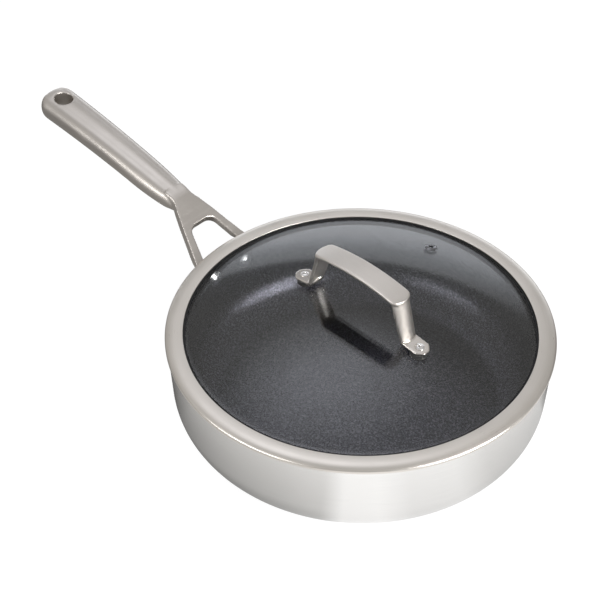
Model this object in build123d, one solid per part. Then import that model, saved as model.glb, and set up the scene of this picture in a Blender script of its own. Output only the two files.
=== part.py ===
from build123d import *
from math import asin, atan2, cos, degrees, hypot, radians, sin, sqrt, tan
import os

# A saute pan with a forked long handle and a domed glass lid. Lengths are in millimetres, angles in
# degrees. The origin is the centre of the underside of the base, +Z is up, and the long handle
# points along -X.

# General clearances
overrun = 5.0                   # how far a cutting shape runs past what it cuts
running_clearance = 0.1         # round a shank in its hole
seat_clearance = 0.15           # between a flat seat and the curved wall it sits on

# Pan wall: three bonded plies
rim_radius = 133.2              # outside of the wall at the rim
rim_height = 73.2
wall_taper = 3.6
corner_radius = 33.7            # outside, between the base and the wall
shell_thickness = 0.6
core_thickness = 1.6
liner_thickness = 0.5
rim_lip_height = 1.2            # depth of the outer ply where it is turned over the core
rim_rounding = 0.9
liner_rounding = 0.3

# Rivets that hold the long handle
rivet_spacing = 29.5
rivet_drop = 14.1               # below the top of the mounting flange
rivet_shank_radius = 3.0
rivet_head_radius = 5.5
rivet_head_height = 2.6
rivet_tail_radius = 4.4
rivet_tail_height = 1.3

# Mounting flange of the long handle
flange_thickness = 3.6
flange_clearance = 0.3
flange_height = 25.0            # top edge to bottom edge
flange_top_width = 56.0
flange_bottom_width = 30.0
flange_rounding = 7.0

# Fork of the long handle, as reaches from the rim radius outwards, seen from above
fork_tilt = 34.0
fork_thickness = 4.6
fork_root_drop = 10.6           # from the rim down to the fork's top face over the rim radius
fork_root_width = 53.6
fork_bite = 9.0                 # how far the legs run on inwards before the wall trims them
shoulder_reach = 38.6
shoulder_width = 23.2
shoulder_rounding = 10.0
neck_reach = 44.6
neck_width = 17.4
neck_rounding = 12.0
window_reach = 26.0
window_root_width = 39.1
window_top_width = 20.8
window_rounding = 7.6
window_bevel = 2.3              # round the window, on the underside
bend_reach = 46.2               # where the fork's slope meets the grip
bend_radius = 25.0
tongue_length = 9.0             # end of the fork plate, inside the grip
tongue_slope = 11.5

# Grip of the long handle
grip_start_reach = 41.5
grip_length = 149.8
grip_start_slope = 13.3
grip_end_slope = 5.4
grip_front_width = 25.0
grip_back_width = 30.0
grip_front_belly = 10.8         # below the widest line
grip_back_belly = 14.5
grip_crown = 0.8
grip_shoulder = 8.0
grip_fade_shares = (0.0, 0.03, 0.08, 0.19, 0.34)     # stations growing out of the fork
grip_width_shares = (0.55, 0.74, 0.87, 0.97, 1.0)
grip_round_shares = (0.35, 0.70, 0.96, 1.0, 1.0)
grip_belly_shares = (0.35, 0.82, 0.98, 1.0, 1.0)
grip_sink_shares = (0.70, 0.20, 0.0, 0.0, 0.0)       # of the fork's thickness
grip_end_radius = 8.0           # corners of the far end, seen from above
grip_end_drop = 1.6             # how far the top rolls over at the far end
grip_end_shoulder = 2.0
grip_end_belly = 13.0
grip_end_steps = 7

# Hang hole
hang_hole_radius = 7.1
hang_hole_inset = 13.8          # hole centre to the far end of the grip
hang_hole_chamfer = 0.8

# Lid band
lid_seat_clearance = 0.3
band_rise = 1.6                 # flat top of the band over its seat on the rim
band_overhang = 1.2             # of the band beyond the rim
band_roll_width = 7.1
band_flat_width = 5.3
band_roll_drop = 2.6
band_hem_drop = 4.2
band_sheet = 0.7
band_rounding = 0.3
locating_clearance = 1.2        # between the locating flange and the pan's wall
locating_drop = 8.0             # below the flat top of the band

# Lid glass
glass_thickness = 4.0
dome_rise = 17.2                # over the glass's flat edge
dome_margin = 3.5               # from the band's lip in to where the dome meets the glass's flat edge
dome_corner_radius = 12.0

# Black seal round the glass
gasket_top = 0.4
gasket_side = 0.8
gasket_bottom = 0.5
gasket_show = 1.75              # how far it shows inside the band's lip
gasket_clearance = 0.05         # over and under the glass
gasket_side_clearance = 0.2     # between the round walls of band, seal and glass

# Lid handle
foot_spacing = 106.0            # rivet to rivet
foot_thickness = 2.2
foot_width = 13.4
foot_tip_width = 5.0
foot_tip_length = 6.7           # rivet centre to the tip
foot_root_length = 12.0         # rivet centre back to the leg
foot_rounding = 2.2
strap_height = 36.8             # middle of the strap over the top of the glass
strap_length = 78.0
strap_width = 17.2
strap_thickness = 2.5
strap_end_sagitta = 3.2
strap_corner_radius = 4.5
strap_arch_radius = 165.0
strap_rounding = 1.1
leg_thickness = 2.9
leg_top_width = 15.2
leg_top_sagitta = 3.7
leg_foot_width = 13.0
leg_foot_sagitta = 1.9
leg_foot_reach = 46.4           # outermost line of a leg where it meets its foot

# Lid rivets and washers
lid_shank_radius = 2.4
lid_hollow_radius = 0.9
lid_head_radius = 3.2
lid_head_height = 1.1
lid_tail_radius = 3.6
lid_tail_height = 1.0
glass_hole_radius = 3.0
washer_radius = 6.0
upper_washer_thickness = 1.5
lower_washer_thickness = 1.0
backing_washer_radius = 5.0
backing_washer_thickness = 0.8
washer_clearance = 0.06         # between a flat washer and the domed glass

# Vent eyelet
vent_inset = 22.5               # in from the edge of the dome
vent_bearing = 101.2            # anticlockwise from +X
vent_bore_radius = 1.6
vent_tube_radius = 2.4
vent_flange_radius = 4.65
vent_flange_height = 0.9
vent_tail_radius = 3.6
vent_tail_height = 0.7

# Worked out from the above
wall_thickness = shell_thickness + core_thickness + liner_thickness
taper_slope = tan(radians(wall_taper))
fork_slope = tan(radians(fork_tilt))
fork_root_height = rim_height - fork_root_drop
rivet_height = fork_root_height - rivet_drop
bend_height = fork_root_height + bend_reach * fork_slope
grip_start_height = bend_height - (bend_reach - grip_start_reach) * tan(radians(grip_start_slope))
band_outer_radius = rim_radius + band_overhang
band_flat_radius = band_outer_radius - band_roll_width
band_lip_radius = band_flat_radius - band_flat_width
band_top = rim_height + lid_seat_clearance + band_rise
dome_radius = band_lip_radius - dome_margin
vent_distance = dome_radius - vent_inset
glass_edge_top = band_top - band_sheet - gasket_top
glass_top = glass_edge_top + dome_rise
dome_sphere = (dome_radius ** 2 + dome_rise ** 2) / (2 * dome_rise)


def turned(outline):
    """Solid of revolution about Z of an outline drawn in radius and height."""
    return revolve(Plane.XZ * outline, Axis.Z)


def filled(points):
    """Face inside a closed outline of straight sides."""
    return make_face(Polyline(*points, close=True).edges())


def mirrored_points(points):
    """Closed outline of points on the +Y side and their mirror images."""
    return list(points) + [(x, -y) for x, y in reversed(points)]


def solid_cap(radius, height):
    """Low dome on a flat base at Z = 0."""
    sphere = (radius ** 2 + height ** 2) / (2 * height)
    rim_angle = degrees(atan2(sphere - height, radius))
    dome = CenterArc((0, height - sphere), sphere, rim_angle, 90 - rim_angle)
    base = Polyline((0, height), (0, 0), (radius, 0))
    return turned(make_face(dome.edges() + base.edges()))


def disc(radius, start, end):
    """Cylinder on the Z axis between two heights."""
    return Pos(0, 0, start) * extrude(Circle(radius), end - start)


# Pan wall

def wall_radius(height, inset):
    """Radius of the tapered wall at a height, with its surface moved inwards by an inset."""
    return rim_radius - (rim_height - height) * taper_slope - inset / cos(radians(wall_taper))


def vessel_form(inset, top):
    """Solid bounded by the pan's outer surface, moved inwards by an inset, up to a height."""
    corners = ((0, inset), (wall_radius(inset, inset), inset), (wall_radius(top, inset), top), (0, top))
    outline = filled(corners)
    corner = outline.vertices().group_by(Axis.Y)[0].sort_by(Axis.X)[-1]
    return turned(fillet(corner, corner_radius - inset))


def rivet_plane(side):
    """Plane on the outside of the wall at a handle rivet, facing outwards."""
    radius = wall_radius(rivet_height, 0)
    swing = asin(side * rivet_spacing / 2 / radius)
    outward = Vector(-cos(swing), -sin(swing), 0)
    facing = outward * cos(radians(wall_taper)) - Vector(0, 0, sin(radians(wall_taper)))
    return Plane(origin=outward * radius + Vector(0, 0, rivet_height), z_dir=facing)


def rivet_holes(radius):
    """Shapes that cut both handle rivets' holes."""
    reach = wall_thickness + rivet_head_height + overrun
    hole = disc(radius, -reach, reach)
    return [rivet_plane(side) * hole for side in (-1, 1)]


def make_outer_shell():
    lip_bottom = rim_height - rim_lip_height
    shell = vessel_form(0, rim_height)
    shell -= vessel_form(shell_thickness, lip_bottom)
    shell -= vessel_form(shell_thickness + core_thickness, rim_height + overrun)
    rim_edge = shell.edges().group_by(Axis.Z)[-1].sort_by(SortBy.RADIUS)[-1]
    shell = fillet(rim_edge, rim_rounding)
    return shell - rivet_holes(rivet_shank_radius + running_clearance)


def make_core():
    lip_bottom = rim_height - rim_lip_height
    core = vessel_form(shell_thickness, lip_bottom)
    core -= vessel_form(shell_thickness + core_thickness, lip_bottom + overrun)
    return core - rivet_holes(rivet_shank_radius + running_clearance)


def make_liner():
    liner = vessel_form(shell_thickness + core_thickness, rim_height)
    liner -= vessel_form(wall_thickness, rim_height + overrun)
    rim_edge = liner.edges().group_by(Axis.Z)[-1].sort_by(SortBy.RADIUS)[0]
    liner = fillet(rim_edge, liner_rounding)
    return liner - rivet_holes(rivet_shank_radius + running_clearance)


def make_handle_rivet(side):
    """Domed head inside the pan, shank through wall and flange, low formed tail outside."""
    head_seat = -wall_thickness - seat_clearance
    tail_seat = flange_clearance + flange_thickness + seat_clearance
    head = Pos(0, 0, head_seat) * Rot(180, 0, 0) * solid_cap(rivet_head_radius, rivet_head_height)
    tail = Pos(0, 0, tail_seat) * solid_cap(rivet_tail_radius, rivet_tail_height)
    shank = disc(rivet_shank_radius, head_seat, tail_seat)
    return rivet_plane(side) * (head + shank + tail)


# Long handle

def make_flange():
    """Curved mounting plate that follows the wall, widest where the fork legs join it."""
    top = fork_root_height
    bottom = top - flange_height
    low = bottom - overrun
    high = top + overrun
    inner = -flange_clearance
    outer = -flange_clearance - flange_thickness
    ring = filled(((wall_radius(low, inner), low), (wall_radius(low, outer), low),
                   (wall_radius(high, outer), high), (wall_radius(high, inner), high)))
    half_top = flange_top_width / 2
    half_bottom = flange_bottom_width / 2
    shield = filled(((-half_bottom, bottom), (half_bottom, bottom), (half_top, top), (-half_top, top)))
    shield = fillet(shield.vertices(), flange_rounding)
    return turned(ring) & extrude(Plane.YZ * shield, -rim_radius - fork_root_width)


def fork_plane():
    """Plane of the fork's top face, with local X running outwards from the rim radius."""
    tilt = radians(fork_tilt)
    return Plane(origin=(-rim_radius, 0, fork_root_height), x_dir=(-cos(tilt), 0, sin(tilt)),
                 z_dir=(sin(tilt), 0, cos(tilt)))


def on_fork(reach, width):
    """Point on one edge of the fork, from a level reach and a full width."""
    return reach / cos(radians(fork_tilt)), width / 2


def legs_at(reach, root_width, far_width, far_reach):
    """Point on a straight edge that is given by its widths at the rim radius and at a far reach."""
    return on_fork(reach, root_width + (far_width - root_width) * reach / far_reach)


def fork_outline():
    """Outer edge of the fork: two straight legs, a shoulder and a neck."""
    shoulder = on_fork(shoulder_reach, shoulder_width)
    neck = on_fork(neck_reach, neck_width)
    blade = filled(mirrored_points((legs_at(-fork_bite, fork_root_width, shoulder_width, shoulder_reach),
                                    shoulder, neck, on_fork(bend_reach + tongue_length, neck_width))))
    blade = fillet(blade.vertices().filter_by(lambda v: abs(v.X - shoulder[0]) < seat_clearance),
                   shoulder_rounding)
    return fillet(blade.vertices().filter_by(lambda v: abs(v.X - neck[0]) < seat_clearance), neck_rounding)


def window_outline():
    """Opening between the legs, rounded where they meet."""
    root = legs_at(-fork_bite - overrun, window_root_width, window_top_width, window_reach)
    window = filled(mirrored_points((root, on_fork(window_reach, window_top_width))))
    return fillet(window.vertices().group_by(Axis.X)[-1], window_rounding)


def window_cut():
    """Opening between the legs, wider towards the underside so that the edge there is bevelled."""
    straight = extrude(window_outline(), fork_thickness + overrun, both=True)
    edge_depth = fork_thickness - window_bevel
    spread = Pos(0, 0, -edge_depth) * extrude(window_outline(), -window_bevel - overrun, taper=-45)
    return fork_plane() * (straight + spread)


def below_fork(point, angle, depth):
    """Point in the side view at a depth square below a line of a given slope."""
    return point[0] - depth * sin(angle), point[1] - depth * cos(angle)


def fork_side():
    """Fork seen from the side: a sloping plate bent down into the start of the grip."""
    tilt = radians(fork_tilt)
    tongue = radians(tongue_slope)
    bend = (-rim_radius - bend_reach, bend_height)
    foot = (-rim_radius + fork_bite, fork_root_height - fork_bite * fork_slope)
    tip = (bend[0] - tongue_length * cos(tongue), bend[1] + tongue_length * sin(tongue))
    low_bend = below_fork(bend, (tilt + tongue) / 2, fork_thickness / cos((tilt - tongue) / 2))
    side = filled((foot, bend, tip, below_fork(tip, tongue, fork_thickness), low_bend,
                   below_fork(foot, tilt, fork_thickness)))
    side = fillet(side.vertices().sort_by_distance(bend)[0], bend_radius)
    return fillet(side.vertices().sort_by_distance(low_bend)[0], bend_radius - fork_thickness)


def make_fork():
    """Bent plate with the outline of the fork and its window."""
    blade = extrude(Plane.XZ * fork_side(), fork_root_width, both=True)
    outline = fork_plane() * extrude(fork_outline(), rim_height, both=True)
    return (blade & outline) - window_cut()


def grip_point(share):
    """Place and slope of the grip's top line at a share of its length."""
    turn = radians(grip_start_slope - grip_end_slope)
    slope = radians(grip_start_slope) - turn * share
    arch = grip_length / turn
    run = arch * (sin(radians(grip_start_slope)) - sin(slope))
    rise = arch * (cos(slope) - cos(radians(grip_start_slope)))
    return -rim_radius - grip_start_reach - run, grip_start_height + rise, slope


def grip_plane(share, sink=0):
    """Plane square to the grip's top line, facing its far end, with local Y upwards."""
    x, z, slope = grip_point(share)
    origin = Vector(x - sink * sin(slope), 0, z - sink * cos(slope))
    return Plane(origin=origin, x_dir=(0, -1, 0), z_dir=(-cos(slope), 0, sin(slope)))


def between(front, back, share):
    """Size that changes evenly along the grip."""
    return front + (back - front) * share


def grip_section(share, half, shoulder, belly, crown, sink):
    """Cross-section of the grip: crowned top, round shoulders and an elliptical belly."""
    flat = half - shoulder
    widest = -crown - shoulder
    top = ThreePointArc((-flat, -crown), (0, 0), (flat, -crown))
    right = CenterArc((flat, widest), shoulder, 0, 90)
    left = CenterArc((-flat, widest), shoulder, 90, 90)
    below = EllipticalCenterArc((0, widest), half, belly, start_angle=180, arc_size=180)
    face = make_face(top.edges() + right.edges() + left.edges() + below.edges())
    return grip_plane(share, sink) * face


def grip_full_section(share):
    half = between(grip_front_width, grip_back_width, share) / 2
    belly = between(grip_front_belly, grip_back_belly, share)
    return grip_section(share, half, grip_shoulder, belly, grip_crown, 0)


def grip_fade_section(index):
    """Section where the grip grows out of the flat fork."""
    share = grip_fade_shares[index]
    width_share = grip_width_shares[index]
    round_share = grip_round_shares[index]
    half = between(grip_front_width, grip_back_width, share) / 2 * width_share
    belly = between(grip_front_belly, grip_back_belly, share) * grip_belly_shares[index]
    sink = fork_thickness * grip_sink_shares[index]
    return grip_section(share, half, grip_shoulder * round_share * width_share, belly,
                        grip_crown * round_share, sink)


def grip_end_section(step):
    """Section where the far end rolls over, as its corners turn through a quarter circle."""
    angle = radians(90 * step / grip_end_steps)
    share = 1 - grip_end_radius * (1 - sin(angle)) / grip_length
    closing = 1 - cos(angle)
    half = between(grip_front_width, grip_back_width, share) / 2 - grip_end_radius * closing
    shoulder = between(grip_shoulder, grip_end_shoulder, closing)
    full_belly = between(grip_front_belly, grip_back_belly, share)
    belly = between(full_belly, grip_end_belly, closing)
    return grip_section(share, half, shoulder, belly, grip_crown, grip_end_drop * closing)


def hang_hole_plane():
    """Plane on the grip's top line at the hang hole, facing upwards out of the grip."""
    x, z, slope = grip_point(1 - hang_hole_inset / grip_length)
    return Plane(origin=(x, 0, z), x_dir=(-cos(slope), 0, sin(slope)), z_dir=(sin(slope), 0, cos(slope)))


def make_grip():
    """Fade out of the fork, long tapered body and rolled far end."""
    fade = [grip_fade_section(index) for index in range(len(grip_fade_shares))]
    middle = len(fade) // 2
    last_share = grip_fade_shares[-1]
    end_share = 1 - grip_end_radius / grip_length
    body = [grip_full_section(between(last_share, end_share, step / 2)) for step in range(3)]
    roll = [grip_end_section(step) for step in range(grip_end_steps + 1)]
    return loft(fade[:middle + 1]) + loft(fade[middle:]) + loft(body) + loft(roll, ruled=True)


def make_long_handle():
    handle = make_fork() + make_grip()
    handle -= vessel_form(-flange_clearance - seat_clearance, rim_height + overrun)
    handle += make_flange()
    depth = grip_shoulder + grip_back_belly + overrun
    handle -= hang_hole_plane() * disc(hang_hole_radius, -depth, overrun)
    flare = hang_hole_chamfer + overrun
    handle -= hang_hole_plane() * Pos(0, 0, overrun - flare / 2) * Cone(
        hang_hole_radius, hang_hole_radius + flare, flare)
    return handle - rivet_holes(rivet_shank_radius + running_clearance)


# Lid glass, band and seal

def glass_height(distance):
    """Height of the top of the dome at a distance from the lid's axis."""
    return glass_top - dome_sphere + sqrt(dome_sphere ** 2 - distance ** 2)


def glass_plane(x, y):
    """Plane on top of the dome, square to it and facing upwards."""
    distance = hypot(x, y)
    lean = distance / dome_sphere
    facing = Vector(x / distance * lean, y / distance * lean, sqrt(1 - lean ** 2))
    return Plane(origin=(x, y, glass_height(distance)), x_dir=(-y, x, 0), z_dir=facing)


def foot_plane(side):
    """Plane on the glass under a lid handle rivet."""
    return glass_plane(side * foot_spacing / 2, 0)


def vent_plane():
    bearing = radians(vent_bearing)
    return glass_plane(vent_distance * cos(bearing), vent_distance * sin(bearing))


def glass_edge_radius():
    return locating_radius() - band_sheet - gasket_side - 2 * gasket_side_clearance


def locating_radius():
    """Outside of the band's locating flange, clear of the tapered wall at its lower edge."""
    return wall_radius(band_top - locating_drop, wall_thickness) - locating_clearance


def make_lid_glass():
    edge = glass_edge_radius()
    low = glass_edge_top - glass_thickness
    centre = glass_top - dome_sphere
    inner_sphere = dome_sphere - glass_thickness
    inner_radius = sqrt(inner_sphere ** 2 - (low - centre) ** 2)
    outer_angle = degrees(atan2(glass_edge_top - centre, dome_radius))
    inner_angle = degrees(atan2(low - centre, inner_radius))
    upper = CenterArc((0, centre), dome_sphere, outer_angle, 90 - outer_angle)
    lower = CenterArc((0, centre), inner_sphere, inner_angle, 90 - inner_angle)
    rim = Polyline((dome_radius, glass_edge_top), (edge, glass_edge_top), (edge, low), (inner_radius, low))
    axis = Line((0, glass_top - glass_thickness), (0, glass_top))
    outline = make_face(upper.edges() + rim.edges() + lower.edges() + axis.edges())
    top_corner = outline.vertices().sort_by_distance((dome_radius, glass_edge_top))[0]
    outline = fillet(top_corner, dome_corner_radius)
    low_corner = outline.vertices().sort_by_distance((inner_radius, low))[0]
    glass = turned(fillet(low_corner, dome_corner_radius + glass_thickness))
    hole = disc(glass_hole_radius, -glass_thickness - overrun, overrun)
    vent = disc(vent_tube_radius + running_clearance, -glass_thickness - overrun, overrun)
    return glass - [foot_plane(-1) * hole, foot_plane(1) * hole, vent_plane() * vent]


def make_lid_band():
    """Folded strip: lip over the glass, flat top, convex roll, hem, and a channel with its flange."""
    roll_width = band_outer_radius - band_flat_radius
    hem = band_top - band_hem_drop
    roll_base = band_top - band_roll_drop
    flat_underside = band_top - band_sheet
    outer_roll = EllipticalCenterArc((band_flat_radius, roll_base), roll_width, band_roll_drop,
                                     start_angle=0, arc_size=90)
    inner_roll = EllipticalCenterArc((band_flat_radius, roll_base), roll_width - band_sheet,
                                     band_roll_drop - band_sheet, start_angle=0, arc_size=90)
    hem_inside = band_outer_radius - band_sheet
    skirt = Polyline((band_outer_radius, roll_base), (band_outer_radius, hem), (hem_inside, hem),
                     (hem_inside, roll_base))
    lip = Polyline((band_flat_radius, flat_underside), (band_lip_radius, flat_underside),
                   (band_lip_radius, band_top), (band_flat_radius, band_top))
    strip = make_face(outer_roll.edges() + skirt.edges() + inner_roll.edges() + lip.edges())
    corners = strip.vertices().group_by(Axis.Y)[0] + strip.vertices().group_by(Axis.X)[0]
    strip = fillet(corners, band_rounding)
    wall = locating_radius()
    shelf = glass_edge_top - glass_thickness - gasket_bottom
    channel = filled(((wall, flat_underside + band_sheet / 2), (wall, band_top - locating_drop),
                      (wall - band_sheet, band_top - locating_drop), (wall - band_sheet, shelf - band_sheet),
                      (band_lip_radius, shelf - band_sheet), (band_lip_radius, shelf),
                      (wall - band_sheet, shelf), (wall - band_sheet, flat_underside + band_sheet / 2)))
    return turned(strip + channel)


def make_gasket():
    """Black channel that wraps the edge of the glass and shows as a line inside the lip."""
    inside = band_lip_radius - gasket_show
    outside = locating_radius() - band_sheet - gasket_side_clearance
    high = glass_edge_top + gasket_top - gasket_clearance
    low = glass_edge_top - glass_thickness - gasket_bottom
    block = filled(((inside, low), (outside, low), (outside, high), (inside, high)))
    block = fillet(block.vertices().group_by(Axis.X)[0].sort_by(Axis.Y)[-1], gasket_top / 2)
    slot_low = glass_edge_top - glass_thickness - gasket_clearance
    slot_high = glass_edge_top + gasket_clearance
    slot_end = glass_edge_radius() + gasket_side_clearance
    slot = filled(((inside - overrun, slot_low), (slot_end, slot_low), (slot_end, slot_high),
                   (inside - overrun, slot_high)))
    return turned(block - slot)


# Lid handle, its rivets and washers

def strap_end(half_width, sagitta, reach, thickness):
    """Bowed band at one end of the lid handle, seen from above."""
    outer = ThreePointArc((reach - sagitta, -half_width), (reach, 0), (reach - sagitta, half_width))
    inner = ThreePointArc((reach - sagitta - thickness, -half_width), (reach - thickness, 0),
                          (reach - sagitta - thickness, half_width))
    ends = [Line((reach - sagitta, y), (reach - sagitta - thickness, y)) for y in (-half_width, half_width)]
    return make_face(outer.edges() + inner.edges() + ends[0].edges() + ends[1].edges())


def strap_height_at(reach):
    """Height of the strap's top line at a distance from the lid's axis."""
    middle = glass_top + strap_height
    return middle - strap_arch_radius + sqrt(strap_arch_radius ** 2 - reach ** 2)


def make_strap():
    """Arched top of the lid handle, with bowed ends."""
    half = strap_width / 2
    reach = strap_length / 2
    shoulder = reach - strap_end_sagitta
    sides = [Line((-shoulder, y), (shoulder, y)) for y in (-half, half)]
    ends = [ThreePointArc((side * shoulder, -half), (side * reach, 0), (side * shoulder, half))
            for side in (-1, 1)]
    outline = make_face(sides[0].edges() + sides[1].edges() + ends[0].edges() + ends[1].edges())
    outline = fillet(outline.vertices(), strap_corner_radius)
    middle = glass_top + strap_height
    centre = (0, middle - strap_arch_radius)
    arch = Circle(strap_arch_radius) - Circle(strap_arch_radius - strap_thickness)
    arch = extrude(Plane.XZ * Pos(*centre) * arch, strap_width, both=True)
    strap = arch & Pos(0, 0, glass_top) * extrude(outline, strap_height + overrun)
    top_edges = strap.faces().sort_by(Axis.Z)[-1].edges()
    return fillet(top_edges, strap_rounding)


def make_leg(side):
    """Tapered leg, bowed outwards, from the end of the strap down to its foot."""
    reach = strap_length / 2
    top = strap_height_at(reach) - strap_rounding - strap_thickness / 4
    toe = foot_spacing / 2 - leg_foot_reach + leg_foot_sagitta
    lean = foot_spacing / 2 / dome_sphere
    bottom = foot_plane(side).origin.Z + upper_washer_thickness + toe * lean
    head = Pos(0, 0, top) * strap_end(leg_top_width / 2, leg_top_sagitta, reach, leg_thickness)
    base = Pos(0, 0, bottom) * strap_end(leg_foot_width / 2, leg_foot_sagitta, leg_foot_reach, leg_thickness)
    leg = loft([head, base], ruled=True)
    return leg if side > 0 else mirror(leg, Plane.YZ)


def make_foot(side):
    """Flat tab with a blunt point, riveted through the glass."""
    half = foot_width / 2
    corner = foot_tip_length - foot_width / 2 + foot_tip_width / 2
    outside = ((foot_root_length, half), (-corner, half), (-foot_tip_length, foot_tip_width / 2))
    outline = filled([(y, -x) for x, y in mirrored_points(outside)])
    outline = fillet(outline.vertices().sort_by(Axis.Y)[2:], foot_rounding)
    base = upper_washer_thickness
    foot = Pos(0, 0, base) * extrude(outline, foot_thickness)
    foot -= disc(lid_shank_radius + running_clearance, base - overrun, base + foot_thickness + overrun)
    plane = foot_plane(1)
    foot = Plane(origin=plane.origin, x_dir=(0, -1, 0), z_dir=plane.z_dir) * foot
    return foot if side > 0 else mirror(foot, Plane.YZ)


def make_lid_handle():
    handle = make_strap()
    for side in (-1, 1):
        handle += make_leg(side)
        handle += make_foot(side)
    return handle


def lower_seat():
    """Level of the underside of the glass below a foot plane, with the washer's clearance."""
    return -glass_thickness - washer_clearance


def ring(outer, inner, start, end):
    return disc(outer, start, end) - disc(inner, start - overrun, end + overrun)


def make_upper_washer(side):
    return foot_plane(side) * ring(washer_radius, glass_hole_radius, 0, upper_washer_thickness)


def make_lower_washer(side):
    top = lower_seat()
    return foot_plane(side) * ring(washer_radius, glass_hole_radius, top - lower_washer_thickness, top)


def make_backing_washer(side):
    top = lower_seat() - lower_washer_thickness
    bore = lid_shank_radius + running_clearance
    return foot_plane(side) * ring(backing_washer_radius, bore, top - backing_washer_thickness, top)


def make_lid_rivet(side):
    """Hollow rivet with a domed head on the foot and a rolled tail under the backing washer."""
    head_seat = upper_washer_thickness + foot_thickness
    tail_seat = lower_seat() - lower_washer_thickness - backing_washer_thickness
    head = Pos(0, 0, head_seat) * solid_cap(lid_head_radius, lid_head_height)
    tail = Pos(0, 0, tail_seat) * Rot(180, 0, 0) * solid_cap(lid_tail_radius, lid_tail_height)
    shank = disc(lid_shank_radius, tail_seat, head_seat)
    hollow = disc(lid_hollow_radius, tail_seat - overrun, head_seat + overrun)
    return foot_plane(side) * (head + shank + tail - hollow)


def make_vent_eyelet():
    """Flanged tube swaged into the vent hole."""
    tail_seat = -glass_thickness - washer_clearance
    head = Pos(0, 0, washer_clearance) * solid_cap(vent_flange_radius, vent_flange_height)
    tail = Pos(0, 0, tail_seat) * Rot(180, 0, 0) * solid_cap(vent_tail_radius, vent_tail_height)
    tube = disc(vent_tube_radius, tail_seat, washer_clearance)
    bore = disc(vent_bore_radius, tail_seat - overrun, overrun)
    return vent_plane() * (head + tube + tail - bore)


sides = {"left": -1, "right": 1}

parts = {
    "outer_shell": make_outer_shell(),
    "aluminium_core": make_core(),
    "nonstick_liner": make_liner(),
    "long_handle": make_long_handle(),
    "lid_glass": make_lid_glass(),
    "lid_band": make_lid_band(),
    "glass_gasket": make_gasket(),
    "lid_handle": make_lid_handle(),
    "vent_eyelet": make_vent_eyelet(),
}
for name, side in sides.items():
    parts["handle_rivet_" + name] = make_handle_rivet(side)
    parts["lid_rivet_" + name] = make_lid_rivet(side)
    parts["upper_washer_" + name] = make_upper_washer(side)
    parts["lower_washer_" + name] = make_lower_washer(side)
    parts["backing_washer_" + name] = make_backing_washer(side)

os.makedirs("parts", exist_ok=True)
for name, part in parts.items():
    export_step(part, "parts/" + name + ".step")
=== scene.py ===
# %% [markdown]
# # Dressing a saute pan with a glass lid
# The CAD model already holds every piece of the pan at its true size and place. This script loads that
# model as a fixed frame and gives it the look of the real thing: smooth turned steel, a satin cast handle,
# a speckled nonstick interior and a clear glass lid. Every cell says what it makes before it makes it.

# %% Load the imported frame
from math import asin, atan2, cos, degrees, hypot, pi, radians, sin, sqrt, tan

import bmesh
import bpy
from mathutils import Matrix, Vector


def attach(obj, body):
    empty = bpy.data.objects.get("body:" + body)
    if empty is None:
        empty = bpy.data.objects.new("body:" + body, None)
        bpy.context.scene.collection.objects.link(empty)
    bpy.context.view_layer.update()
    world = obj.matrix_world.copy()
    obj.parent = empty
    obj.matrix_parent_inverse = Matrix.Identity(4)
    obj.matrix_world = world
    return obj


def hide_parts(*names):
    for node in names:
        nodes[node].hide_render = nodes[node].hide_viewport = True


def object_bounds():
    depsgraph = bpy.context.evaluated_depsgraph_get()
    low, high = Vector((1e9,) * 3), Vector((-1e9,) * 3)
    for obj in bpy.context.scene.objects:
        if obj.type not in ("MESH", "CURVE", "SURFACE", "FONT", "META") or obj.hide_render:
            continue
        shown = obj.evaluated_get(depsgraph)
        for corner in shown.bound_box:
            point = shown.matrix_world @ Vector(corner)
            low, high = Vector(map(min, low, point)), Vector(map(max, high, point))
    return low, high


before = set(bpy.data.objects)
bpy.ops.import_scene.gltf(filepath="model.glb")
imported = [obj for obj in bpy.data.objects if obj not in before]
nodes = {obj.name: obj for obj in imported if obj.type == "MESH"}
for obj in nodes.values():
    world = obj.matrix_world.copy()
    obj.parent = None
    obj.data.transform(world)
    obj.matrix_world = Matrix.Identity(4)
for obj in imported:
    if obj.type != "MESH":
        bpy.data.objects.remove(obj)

MM = 0.001
scene = bpy.context.scene
cad_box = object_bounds()
cad_size = [round(high - low, 4) for low, high in zip(*cad_box)]
print("CAD pieces:", len(nodes), "size in metres:", cad_size)

# %% [markdown]
# ## The camera
# The photograph looks down on the pan from above one side with a long lens, so that the far side of the
# rim is barely smaller than the near side. The camera is placed by an azimuth, an elevation and a distance
# from the middle of the lid's band, and is then turned a little so that the pan sits low and to the right
# of the frame's centre, as it does in the photograph.

# %% Camera
lid_middle = Vector((0, 0, 0.0751))
camera_azimuth = radians(41.8)
camera_elevation = radians(42.02)
camera_distance = 1.2816
turn_to_left = radians(2.50)
tip_upwards = radians(0.82)
sensor_width = 36
lens_length = 111.93


def in_scene(name, data):
    """New object in the scene that carries a mesh, a lamp or a camera."""
    item = bpy.data.objects.new(name, data)
    scene.collection.objects.link(item)
    return item


def direction(azimuth, elevation):
    """Unit vector from the object towards a viewer at an azimuth and an elevation."""
    level = cos(elevation)
    return Vector((sin(azimuth) * level, -cos(azimuth) * level, sin(elevation)))


def aimed(place, target):
    """Turn that points a camera, a lamp or a panel from a place at a target."""
    return (target - place).to_track_quat("-Z", "Y").to_matrix()


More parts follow.
